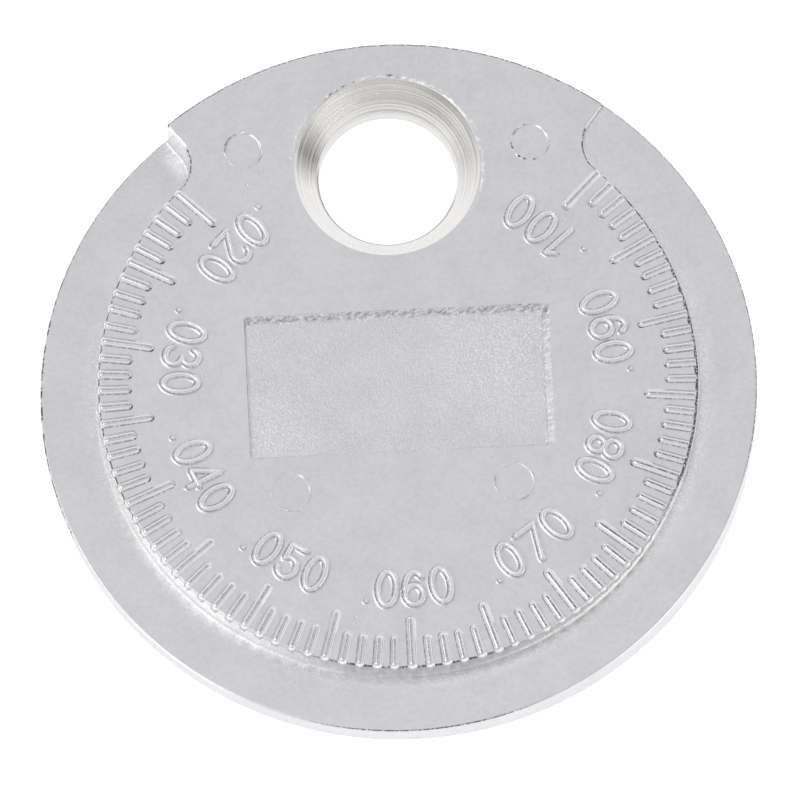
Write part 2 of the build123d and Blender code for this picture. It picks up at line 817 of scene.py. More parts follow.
@dataclass
class DialPlate:
    """The full-height part: dial, solid sector with its tapered hole, and recess."""

    rule: ReadingRule
    disc_radius: float = 18.0
    dial_radius: float = 15.05
    face_height: float = 2.6996
    channel_corner: float = 1.85
    outer_corner: float = 0.17
    draft: float = 2.0
    dial_edge: float = 0.09
    rim_edge: float = 0.10
    right_edge: float = 0.085
    back_edge: float = 0.12
    least_edge: float = 0.02
    wall_heights: tuple[float, float] = (0.7, 0.35)
    step: float = 0.08
    corner_shares: tuple[float, float] = (0.17, 0.05)
    hole_distance: float = 11.45
    bore_radius: float = 3.5
    mouth_radius: float = 4.7
    cone_angle: float = 64.0
    mouth_edge: float = 0.05
    mouth_share: float = 0.55
    hole_points: int = 160
    burr_reach: float = 0.30
    burr_height: float = 0.022
    burr_rows: tuple[tuple[float, float], ...] = (
        (0.25, 0.35),
        (0.19, 0.9),
        (0.13, 1.0),
        (0.08, 0.6),
    )
    burr_lean: float = 90.0
    cone_step: float = 0.04
    grooves: tuple[tuple[float, float, float], ...] = ((0.010, 61.0, 0.0), (0.006, 143.0, 1.0))
    land_edge: float = 0.06
    recess_length: float = 15.35
    recess_width: float = 7.56
    recess_depth: float = 0.4
    recess_corner: float = 0.2
    recess_middle: Point2 = (0.08, 0.05)
    recess_insets: tuple[float, float, float, float] = (0.42, 0.30, 0.05, 0.12)
    recess_lip: float = 0.05
    recess_shares: tuple[float, ...] = (0.0, 0.06, 0.2, 0.4, 0.6, 0.8, 1.0)
    recess_step: float = 0.07
    floor_step: float = 0.13
    floor_jig: float = 0.035
    floor_grain: float = 0.005

    def corner_at(self, start: float, side: int) -> list[OutlinePoint]:
        """Follow one end wall from the rim to the dial.

        Args:
            start: The wall's angle.
            side: 1 if the channel lies anticlockwise of the wall, -1 if clockwise.

        Returns:
            The points from the rim to the dial, ends included.
        """
        points: list[OutlinePoint] = []
        small, big = self.outer_corner, self.channel_corner
        reach = self.disc_radius - small
        turn = math.degrees(math.asin(small / reach))
        cx, cy = polar(reach, start - side * turn)
        for share in spread(0.0, 1.0, self.corner_shares[0]):
            lean = start - side * turn + side * share * (90.0 + turn)
            ox, oy = polar(1.0, lean)
            points.append(OutlinePoint(cx + small * ox, cy + small * oy, ox, oy, 1.0 - share))
        hub = self.dial_radius + big
        wall_end = math.sqrt(hub * hub - big * big)
        ox, oy = polar(1.0, start + side * 90.0)
        wall_start = math.sqrt(reach * reach - small * small)
        for radius in spread(wall_start, wall_end, self.step)[1:]:
            points.append(OutlinePoint(*polar(radius, start), ox, oy, 0.0))
        bend = math.degrees(math.asin(big / hub))
        hx, hy = polar(hub, start + side * bend)
        for share in spread(0.0, 1.0, self.corner_shares[1])[1:]:
            lean = start + side * (90.0 - share * (90.0 - bend))
            ox, oy = polar(1.0, lean)
            points.append(OutlinePoint(hx - big * ox, hy - big * oy, ox, oy, 0.0))
        return points

    def outline(self) -> list[OutlinePoint]:
        """Follow the whole outline of the face, anticlockwise.

        Returns:
            The points of a closed loop.
        """
        left = self.corner_at(self.rule.ramp_start + 360.0, 1)
        right = self.corner_at(self.rule.ramp_end, -1)[::-1]
        dial = self.arc_between(left[-1], right[0], self.dial_radius, 0.0)
        rim = self.arc_between(right[-1], left[0], self.disc_radius, 1.0)
        return left + dial + right + rim

    def arc_between(
        self, first: OutlinePoint, last: OutlinePoint, radius: float, on_rim: float
    ) -> list[OutlinePoint]:
        """Follow an arc round the disc's centre between two points, ends left out.

        Args:
            first: Where it starts.
            last: Where it ends.
            radius: Its radius.
            on_rim: 1 for the rim, 0 for a wall of the channel.

        Returns:
            The points in between.
        """
        turn = (last.around - first.around) % 360.0
        step = math.degrees(self.step / radius)
        angles = spread(first.around, first.around + turn, step)[1:-1]
        return [OutlinePoint(*polar(radius, a), *polar(1.0, a), on_rim) for a in angles]

    def build(self, finishes: Sequence[bpy.types.Material]) -> bpy.types.Object:
        """Make the plate as one closed mesh.

        Args:
            finishes: The materials of the casting, of the cone and of the recess.

        Returns:
            The piece.
        """
        shell = Shell()
        path = self.outline()
        rows = self.side_rows(shell, path)
        shell.bridges(rows)
        mouth, back = self.hole(shell)
        rim_of_recess = self.recess(shell)
        shell.fill([rows[0], mouth, rim_of_recess])
        shell.fill([rows[-1], back])
        return settle_normals(shell.build("dial_plate", finishes))

    def side_rows(self, shell: Shell, path: Sequence[OutlinePoint]) -> list[list[int]]:
        """Add the rounded edge, the wall and the back edge all round the outline.

        Args:
            shell: The mesh being made.
            path: The outline.

        Returns:
            The rows from the face to the back.
        """
        top = self.face_height
        lean = math.tan(math.radians(self.draft))
        edges = [self.edge_radius(point) for point in path]
        rows = []
        for turn in spread(0.0, 90.0, 18.0):
            cosine, sine = polar(1.0, turn)
            on_edge = min(1.0, turn / 30.0)
            ring = []
            for p, e in zip(path, edges):
                ring.append((*p.moved(-e * (1 - sine)), top - e * (1 - cosine)))
            rows.append(shell.ring(ring, tone=[self.edge_tone(p) * on_edge for p in path]))
        for height in (top - 0.15, *(top * share for share in self.wall_heights)):
            ring = [(*p.moved((top - height) * lean * (1 - p.on_rim)), height) for p in path]
            grit = [(0.3 + 0.5 * self.in_front(p)) * (1 - p.on_rim) for p in path]
            tone = [self.wall_tone(p, height / top) for p in path]
            rows.append(shell.ring(ring, grit=grit, tone=tone))
        for turn in spread(0.0, 90.0, 30.0):
            cosine, sine = polar(1.0, turn)
            ring = []
            for p in path:
                e = max(self.least_edge, self.back_edge * p.on_rim)
                foot = top * lean * (1 - p.on_rim)
                ring.append((*p.moved(foot - e * (1 - cosine)), e * (1 - sine)))
            rows.append(shell.ring(ring))
        return rows

    def wall_tone(self, point: OutlinePoint, share: float) -> float:
        """Return the tone of the channel's wall: painted highlight on most of it, painted shade at
        the right, and in front painted shade above with a painted highlight lower down.

        Args:
            point: A point of the outline.
            share: The height on the wall, 0 at the back and 1 at the face.

        Returns:
            The tone, from -1 for painted shade to 1 for painted highlight.
        """
        if point.on_rim:
            return 0.0
        around = point.around
        tone = 1.0 if -165.0 < around < -110.0 else 0.85
        if -22.0 < around < 62.0:
            tone = -0.5
        elif -70.0 < around <= -22.0:
            tone = 1.1 + 1.2 * unevenness(point.x, point.y, 5.0, 0.3)
        elif 100.0 < around < 140.0:
            tone = 0.45
        front = self.in_front(point)
        # Painted shading in front: darker near the face, lighter lower down
        painted_shading = (share - 0.84) * 3.0 + unevenness(point.x, point.y, 9.0, 0.25)
        return tone * (0.5 + 0.5 * share) * (1.0 - front) - front * clamped(painted_shading, -0.85, 0.3)

    def in_front(self, point: OutlinePoint) -> float:
        """Return how near a point of the outline lies to the middle of the front."""
        return min(1.0, 2.0 * peak(point.around, -88.0, 26.0))

    def edge_tone(self, point: OutlinePoint) -> float:
        """Return the tone of the face's edge: painted shade, darkest at the dial's right, and
        painted highlight at the end walls and at the dial's lower left and lower right.

        Args:
            point: A point of the outline.

        Returns:
            The tone, from -1 for painted shade to 1 for painted highlight.
        """
        if point.on_rim:
            return -1.1
        if math.hypot(point.x, point.y) > self.dial_radius + 1.45:
            return 0.8
        right = peak(point.around, 12.0, 40.0)
        lower_right = peak(point.around, -50.0, 30.0)
        lower_left = peak(point.around, -130.0, 30.0)
        return -1.0 - right + 1.6 * max(lower_right, lower_left)

    def edge_radius(self, point: OutlinePoint) -> float:
        """Return the rounding of the face's edge: uneven, and larger at the dial's right.

        Args:
            point: A point of the outline.

        Returns:
            The radius.
        """
        base = self.dial_edge + (self.rim_edge - self.dial_edge) * point.on_rim
        right = peak(point.around, 8.0, 40.0) * (1.0 - point.on_rim)
        wave = (0.35 + 0.4 * right) * unevenness(point.x, point.y, 0.0, 0.35)
        return (base + self.right_edge * right) * (1.0 + wave)

    def circle(
        self, shell: Shell, radius: float, height: float, **shape: Callable[[float], float]
    ) -> list[int]:
        """Add a loop round the hole's axis.

        Args:
            shell: The mesh being made.
            radius: Its radius.
            height: Its height.
            shape: Functions of the angle: bump is added to the height, and tone and grit
                are the loop's marks.

        Returns:
            The loop.
        """
        angles = [360.0 / self.hole_points * i for i in range(self.hole_points)]
        bump, tone, grit = (shape.get(name, lambda angle: 0.0) for name in ("bump", "tone", "grit"))
        points = []
        for angle in angles:
            x, y = polar(radius, angle)
            points.append((x, y + self.hole_distance, height + bump(angle)))
        return shell.ring(points, tone=[tone(a) for a in angles], grit=[grit(a) for a in angles])

    def burr(self, angle: float) -> float:
        """Return how much burr the countersink has left round the hole's mouth.

        Args:
            angle: The angle round the hole.

        Returns:
            A share of the burr's height, from 0.
        """
        reach = peak(signed(angle), 80.0, 115.0) ** 0.4
        lumps = 4.5 * unevenness((angle - 8.0) / 7.0, 1.0, 0.0, 0.24) - 0.1
        return reach * clamped(lumps, 0.0, 1.8)

    def glint(self, angle: float) -> float:
        """Return the tone of the mouth's burr: painted highlight on most of it, painted shade in
        two stretches behind the hole.

        Args:
            angle: The angle round the hole.

        Returns:
            The tone, from -1 for painted shade to 1 for painted highlight.
        """
        around = signed(angle)
        if 107.0 < around < 142.0 or 80.0 < around < 90.0:
            return -0.9
        return 0.9 if -40.0 < around < 180.0 else 0.3

    def mouth_tone(self, angle: float) -> float:
        """Return the painted highlight on the rounded edge of the mouth."""
        return 0.4 * max(0.0, self.glint(angle)) * self.burr(angle * 3.0)

    def lower(self, angle: float) -> float:
        """Return how dark the cone's inner edge is: a line on its near half, faint elsewhere."""
        return max(0.12, min(1.0, (angle - 162.0) / 15.0, (352.0 - angle) / 20.0))

    def shadow(self, angle: float) -> float:
        """Return the tone of the cone: painted shade at its left and right, painted highlight
        behind.

        Args:
            angle: The angle round the hole.

        Returns:
            The tone, from -1 for painted shade to 1 for painted highlight.
        """
        left = peak(angle, 163.0, 27.0) ** 0.8
        right = peak((angle + 180.0) % 360.0, 190.0, 50.0)
        return peak(angle, 85.0, 60.0) - 0.7 * left - 0.34 * right

    def hole(self, shell: Shell) -> tuple[list[int], list[int]]:
        """Add the burr, the cone and the land of the hole.

        Args:
            shell: The mesh being made.

        Returns:
            The loops on the face and on the back.
        """
        top, mouth, e = self.face_height, self.mouth_radius, self.mouth_edge
        burrs = [self.circle(shell, mouth + self.burr_reach, top)]
        for out, size in self.burr_rows:
            lean = self.burr_lean * out
            burrs.append(
                self.circle(
                    shell,
                    mouth + out,
                    top,
                    bump=lambda a, s=size, b=lean: self.burr_height * s * self.burr(a + b),
                    tone=lambda a, s=size, b=lean: s * self.burr(a + b) * self.glint(a),
                    grit=lambda a, s=size: s * self.burr(a),
                )
            )
        cone = []
        for turn in spread(0.0, 90.0 - self.cone_angle / 2, 15.0):
            cosine, sine = polar(1.0, turn)
            radius, start = mouth + e * (self.mouth_share - sine), top - e * (1 - cosine)
            cone.append(self.circle(shell, radius, start, tone=self.mouth_tone))
        shell.bridges([*burrs, cone[0]])
        land = top - (mouth - self.bore_radius) / math.tan(math.radians(self.cone_angle / 2))
        for share in spread(0.0, 1.0, self.cone_step)[1:]:
            waves = (d * math.sin(share * rate + phase) for d, rate, phase in self.grooves)
            groove = sum(waves)
            calm = min(1.0, share * 8.0, (1 - share) * 8.0)
            line = max(0.0, 1.0 - (1.0 - share) / 0.13)
            cone.append(
                self.circle(
                    shell,
                    radius + (self.bore_radius - radius) * share + groove * calm,
                    start + (land - start) * share,
                    tone=lambda a, c=calm, r=line: min(self.shadow(a) * c, -r * self.lower(a)),
                )
            )
        bore = [cone[-1]]
        for height in (land - 0.05, land * 0.5, self.land_edge):
            bore.append(self.circle(shell, self.bore_radius, height))
        bore.append(self.circle(shell, self.bore_radius + self.land_edge, 0.0))
        shell.bridges(cone, finish=1)
        shell.bridges(bore, finish=1)
        return burrs[0], bore[-1]

    def recess_outline(self, insets: Sequence[float]) -> list[Point2]:
        """Return the recess's outline, with each side moved inwards by its own inset.

        Args:
            insets: The insets of the right, far, left and near sides.

        Returns:
            The points of a closed loop, always the same number of them.
        """
        right, far, left, near = insets
        corner = max(self.recess_corner - min(insets), 0.08)
        high_x, low_x = self.recess_length / 2 - right, left - self.recess_length / 2
        high_y, low_y = self.recess_width / 2 - far, near - self.recess_width / 2
        centres = (
            (high_x - corner, high_y - corner, 0.0),
            (low_x + corner, high_y - corner, 90.0),
            (low_x + corner, low_y + corner, 180.0),
            (high_x - corner, low_y + corner, 270.0),
        )
        points: list[Point2] = []
        for index, (cx, cy, start) in enumerate(centres):
            for angle in spread(start, start + 90.0, 15.0):
                ox, oy = polar(corner, angle)
                points.append((cx + ox, cy + oy))
            nx, ny, begin = centres[(index + 1) % 4]
            ox, oy = polar(corner, begin)
            last = points[-1]
            side = self.recess_width if index % 2 else self.recess_length
            count = round(side / self.recess_step)
            for i in range(1, count):
                share = i / count
                x = last[0] + (nx + ox - last[0]) * share
                points.append((x, last[1] + (ny + oy - last[1]) * share))
        return points

    def recess(self, shell: Shell) -> list[int]:
        """Add the recess, with ragged sloping walls and a grainy floor.

        Args:
            shell: The mesh being made.

        Returns:
            The loop on the face.
        """
        rows = [self.recess_row(shell, share) for share in self.recess_shares]
        shell.bridges(rows, finish=2)
        level = self.face_height - self.recess_depth
        right, far, left, near = (inset + 0.1 for inset in self.recess_insets)
        half_x, half_y = self.recess_length / 2, self.recess_width / 2
        mx, my = self.recess_middle
        grid, grits = [], []
        for x in spread(left - half_x, half_x - right, self.floor_step):
            for y in spread(near - half_y, half_y - far, self.floor_step):
                jig_x = self.floor_jig * unevenness(x, y, 3.0, 0.05)
                jig_y = self.floor_jig * unevenness(y, x, 7.0, 0.05)
                bump = self.floor_grain * unevenness(x, y, 5.0, 0.16)
                grid.append((mx + x + jig_x, my + y + jig_y, level + bump))
                grits.append(self.floor_grit(x, y))
        shell.fill([rows[-1]], grid, finish=2, grit=grits)
        return rows[0]

    def floor_grit(self, x: float, y: float) -> float:
        """Return how much the recess's floor sparkles, most at its right and lower left.

        Args:
            x: The point's place along the recess, from its middle.
            y: Its place across.

        Returns:
            The grit, from 0 to 1.
        """
        upper_right = max(0.0, 1.0 - math.hypot(x - 5.4, y - 1.6) / 5.0)
        lower_left = max(0.0, 1.0 - math.hypot(x + 6.4, y + 2.6) / 2.6)
        return 0.16 + 0.75 * max(upper_right, lower_left)

    def recess_row(self, shell: Shell, share: float) -> list[int]:
        """Add one row of the recess's wall.

        Args:
            shell: The mesh being made.
            share: How far down the wall it lies, 0 at the face and 1 at the floor.

        Returns:
            The row, roughened most on the far and right walls.
        """
        mx, my = self.recess_middle
        row, tones, grits = [], [], []
        right, far, left, near = (inset * share for inset in self.recess_insets)
        near += self.recess_lip * min(1.0, share / self.recess_shares[1])
        for x, y in self.recess_outline((right, far, left, near)):
            skin = self.recess_skin(x, y, share)
            rough = skin.rough * (min(1.0, share * 5.0) * 0.6 + 0.4)
            shift = rough * unevenness(x, y, share * 2.0, 0.11)
            lift = 0.8 * rough * unevenness(y, x, share * 2.0 + 9.0, 0.11) * (0.0 < share < 1.0)
            height = self.face_height - share * self.recess_depth + lift
            row.append((x + mx + shift, y + my + shift, height))
            tones.append(skin.tone * min(1.0, share * 12.0, 0.3 + (1.0 - share) * 6.0))
            grits.append(skin.grit * (share > 0.0))
        return shell.ring(row, tone=tones, grit=grits)

    def recess_skin(self, x: float, y: float, share: float) -> Skin:
        """Return how the recess's wall is finished at a point: ragged with painted shade behind,
        ragged with a painted highlight at the right, smooth at the left, and with painted shade
        in front, darkest at the ends.

        Args:
            x: The point's place along the recess, from its middle.
            y: Its place across.
            share: How far down the wall it lies.

        Returns:
            The finish.
        """
        half_x, half_y = self.recess_length / 2, self.recess_width / 2
        if y > half_y - 0.5:
            dark = 0.32 + 0.9 * unevenness(x, 0.8 * share, 1.0, 0.2)
            return Skin(0.11, -clamped(dark, 0.1, 0.55), 0.8)
        if x > half_x - 0.4:
            return Skin(0.045, 0.8 * unevenness(y, 2.0, 0.0, 0.12) + 0.35, 0.6)
        if x < 0.4 - half_x:
            return Skin(0.02, 0.8 * unevenness(y, 6.0, 0.0, 0.2))
        return Skin(0.010, -0.1 - 0.7 * (x / half_x) ** 2)


@dataclass
class RampRing:
    """The measuring ring, whose top climbs with the reading."""

    rule: ReadingRule
    plate: DialPlate
    foot_radius: float = 0.08
    rim_edge: float = 0.07
    back_edge: float = 0.12
    overlap: float = 0.9
    close_reach: float = 8.0
    close_step: float = 0.18
    column_step: float = 0.5
    tucked: float = 0.15
    row_bands: tuple[tuple[float, float, float], ...] = ((-0.02, 0.6, 0.05), (0.6, 1.95, 0.09))
    rim_row_step: float = 0.3
    foot_grain: float = 0.004
    foot_reach: float = 1.0
    clearance: float = 0.05
    seam: float = -10.0

    def columns(self) -> list[float]:
        """Return the angles of the grid's columns.

        Returns:
            The angles in order, close together at the end walls.
        """
        start, end, reach = self.rule.ramp_start, self.rule.ramp_end, self.close_reach
        close = spread(-self.overlap, reach, self.close_step)
        middle = spread(start + reach, end - reach, self.column_step)[1:-1]
        return [start + a for a in close] + middle + [end - a for a in reversed(close)]

    def rows(self) -> list[tuple[float, float]]:
        """Return the rows of the ring's top.

        Returns:
            The radius of each, and how far it lies down the rim's edge.
        """
        dial, rim = self.plate.dial_radius, self.plate.disc_radius - self.rim_edge
        radii = [dial - self.tucked, dial + self.row_bands[0][0]]
        for begin, end, step in self.row_bands:
            radii += spread(dial + begin, dial + end, step)[1:]
        radii += spread(dial + self.row_bands[-1][1], rim - 0.03, self.rim_row_step)[1:]
        rows = [(radius, 0.0) for radius in [*radii, rim]]
        for turn in spread(0.0, 90.0, 22.5)[1:]:
            cosine, sine = polar(1.0, turn)
            rows.append((rim + self.rim_edge * sine, self.rim_edge * (1 - cosine)))
        return rows

    def wall_distance(self, radius: float, degrees: float) -> float:
        """Return how far a point of the channel lies from its wall, at the wall's foot.

        Args:
            radius: The point's radius.
            degrees: Its angle.

        Returns:
            The distance, below 0 inside the metal of the dial plate.
        """
        big = self.plate.channel_corner
        foot = self.plate.face_height - self.rule.thickness(degrees)
        foot *= math.tan(math.radians(self.plate.draft))
        from_dial = radius - self.plate.dial_radius
        gap = self.rule.gap(degrees)
        from_end = radius * math.sin(math.radians(min(gap, 90.0)))
        hub = self.plate.dial_radius + big
        bend = math.degrees(math.asin(big / hub))
        along, across = polar(radius, gap - bend)
        along -= hub
        if gap < 60.0 and along < 0.0 and across < 0.0:
            return big - math.hypot(along, across) - foot
        return min(from_dial, from_end) - foot

    def fillet(self, radius: float, degrees: float) -> float:
        """Return how far the concave foot rises above the ramp at a point.

        Args:
            radius: The point's radius.
            degrees: Its angle.

        Returns:
            The rise.
        """
        room = self.plate.face_height - self.rule.thickness(degrees)
        size = min(self.foot_radius, 0.45 * room)
        distance = min(max(self.wall_distance(radius, degrees), 0.0), size)
        rise = size - math.sqrt(max(size * size - (size - distance) ** 2, 0.0))
        x, y = polar(radius, degrees)
        grain = self.foot_grain * unevenness(x, y, 1.0, 0.14)
        return rise + grain * self.nearness(radius, degrees)

    def nearness(self, radius: float, degrees: float) -> float:
        """Return how near a point lies to the channel's wall, from 0 away from it to 1."""
        return min(1.0, max(0.0, 1.0 - self.wall_distance(radius, degrees) / self.foot_reach))

    def template(self, material: bpy.types.Material) -> bpy.types.Object:
        """Make the ring's grid with its top still level at the back.

        Args:
            material: Its finish.

        Returns:
            The piece. Its attribute lift says how much of the ramp each point is given.
        """
        shell = Shell()
        angles = self.columns()
        rim = self.plate.disc_radius
        edge = rim - self.rim_edge
        rows = []
        for radius, drop in self.rows():
            row = []
            for angle in angles:
                inset = self.tuck(angle) if radius > edge else 0.0
                height = self.fillet(min(radius, edge), angle) - drop
                row.append((*polar(radius - inset, angle), height))
            grit = [self.nearness(radius, a) * self.grit_share(a) for a in angles]
            tone = [self.top_tone(radius, drop, a) for a in angles]
            rows.append(shell.ring(row, lift=1.0, grit=grit, tone=tone))
        e = self.back_edge
        for height, lift in ((-1.5 * self.rim_edge, 1.0), (e, 0.5), (e, 0.0)):
            row = [(*polar(rim - self.tuck(a), a), height) for a in angles]
            rows.append(shell.ring(row, lift=lift))
        for turn in spread(0.0, 90.0, 30.0)[1:]:
            cosine, sine = polar(1.0, turn)
            radius, height = rim - e * (1 - cosine), e * (1 - sine)
            row = [(*polar(radius - self.tuck(a), a), height + self.lie(a)) for a in angles]
            rows.append(shell.ring(row))
        lean = math.tan(math.radians(self.plate.draft))
        inner = self.plate.dial_radius + self.plate.face_height * lean
        rows.append(shell.ring((*polar(inner, a), self.lie(a)) for a in angles))
        inner = self.plate.dial_radius - self.tucked
        rows.append(shell.ring((*polar(inner, a), self.clearance) for a in angles))
        shell.bridges([*rows, rows[0]], closed=False)
        for end in (0, -1):
            shell.cap([row[end] for row in rows])
        return shell.build("ramp_ring", [material])

    def grit_share(self, degrees: float) -> float:
        """Return how grainy the channel's foot is: most at the ramp's start, least beside it
        and at the ramp's end.

        Args:
            degrees: The angle.

        Returns:
            A share of the grit, from 0 to 1.
        """
        # Grit roughens the foot and scatters painted glint specks on it
        start = degrees - self.rule.ramp_start
        if start < 14.0:
            return 0.4 + 0.6 * (1.0 - max(0.0, start) / 14.0) ** 0.5
        return 0.4 + 0.5 * clamped((self.rule.gap(degrees) - 20.0) / 30.0, 0.0, 1.0)

    def top_tone(self, radius: float, drop: float, degrees: float) -> float:
        """Return the tone of the ring's top at a point: painted shade and highlight on the rim's
        edge, on its last row and at the foot of the channel's wall.

        Args:
            radius: The point's radius.
            drop: How far it lies down the rim's edge.
            degrees: Its angle.

        Returns:
            The tone, from -1 for painted shade to 1 for painted highlight.
        """
        tone = self.rim_tone(degrees) * min(1.0, drop / 0.01)
        return tone + self.rim_band(radius, degrees) + self.foot_tone(radius, degrees)

    def foot_tone(self, radius: float, degrees: float) -> float:
        """Return the tone at the foot of the channel's wall: in front, painted shade close to the
        wall with a painted highlight a little further out; elsewhere a painted highlight close
        to the wall, faint at the right and strongest at the lower right.

        Args:
            radius: The point's radius.
            degrees: Its angle.

        Returns:
            The tone, from -1 for painted shade to 1 for painted highlight.
        """
        distance = max(0.0, self.wall_distance(radius, degrees))
        around = signed(degrees)
        near = peak(distance, 0.0, 0.24)
        glow = peak(distance, 0.55, 0.45)
        in_front = min(1.0, 1.8 * peak(degrees, self.rule.middle + 4.0, 34.0))
        near_left = near * min(1.0, abs(around - 10.0) / 90.0) ** 3
        lower_right = peak(around, -46.0, 32.0) * peak(distance, 0.0, 0.4)
        tone = 0.6 * near_left * (1.0 - in_front) + (0.35 * glow - 0.4 * near) * in_front
        return tone + 0.7 * lower_right

    def rim_tone(self, degrees: float) -> float:
        """Return the tone of the rim's edge: painted shade, with painted highlight at the lower
        left and right, and dashes at the left.

        Args:
            degrees: The angle.

        Returns:
            The tone, from -1 for painted shade to 1 for painted highlight.
        """
        x, y = polar(self.plate.disc_radius, degrees)
        around = signed(degrees)
        lower_right = peak(around, -45.0, 35.0)
        lower_left = peak(around, -132.0, 35.0)
        left = peak(abs(around), 180.0, 25.0)
        dashes = 6.0 * left * unevenness(x, y, 4.0, 0.4)
        return -1.0 + 2.2 * max(lower_right, lower_left) + dashes

    def rim_band(self, radius: float, degrees: float) -> float:
        """Return the tone of the top's last row: dashes at the left, then a line of painted
        highlight.

        Args:
            radius: The point's radius.
            degrees: Its angle.

        Returns:
            The tone, 0 in every other row.
        """
        if abs(self.plate.disc_radius - self.rim_edge - radius) > 0.01:
            return 0.0
        around = signed(degrees)
        line = min(1.0, 3.0 * peak(around, -162.0, 15.0))
        return peak(abs(around), 180.0, 40.0) * self.rim_tone(degrees) * (1.0 - line) + line

    def tuck(self, degrees: float) -> float:
        """Return how far the ring's ends draw in where they lie inside the dial plate."""
        return self.clearance if self.rule.gap(degrees) < -0.6 else 0.0

    def lie(self, degrees: float) -> float:
        """Return how far the ring's back lifts where it lies inside the dial plate."""
        return self.clearance if self.rule.gap(degrees) < -0.01 else 0.0

    def build(self, material: bpy.types.Material) -> bpy.types.Object:
        """Make the ring. Its tree writes the rule of the ramp: every point is raised by its
        share of the reading at its angle.

        Args:
            material: Its finish.

        Returns:
            The piece.
        """
        start = self.rule.ramp_start
        values = {
            "Ramp Start": math.radians(start),
            "Start Thickness": self.rule.thickness(start) * MM,
            "Rise per Radian": math.degrees(self.rule.rise * MM),
            "Material": material,
        }
        graph = GeometryGraph("reading ramp", values)
        given = graph.given
        x, y, _ = graph.place()
        turn = y.math("ARCTAN2", x) - given["Ramp Start"]
        turn = turn.math("WRAP", math.radians(self.seam + 360.0), math.radians(self.seam))
        thickness = given["Start Thickness"] + turn * given["Rise per Radian"]
        climb = graph.vector(0.0, 0.0, thickness * graph.mark("lift"))
        raised = graph.moved(given["Geometry"], climb)
        return settle_normals(graph.shape(self.template(material), raised))


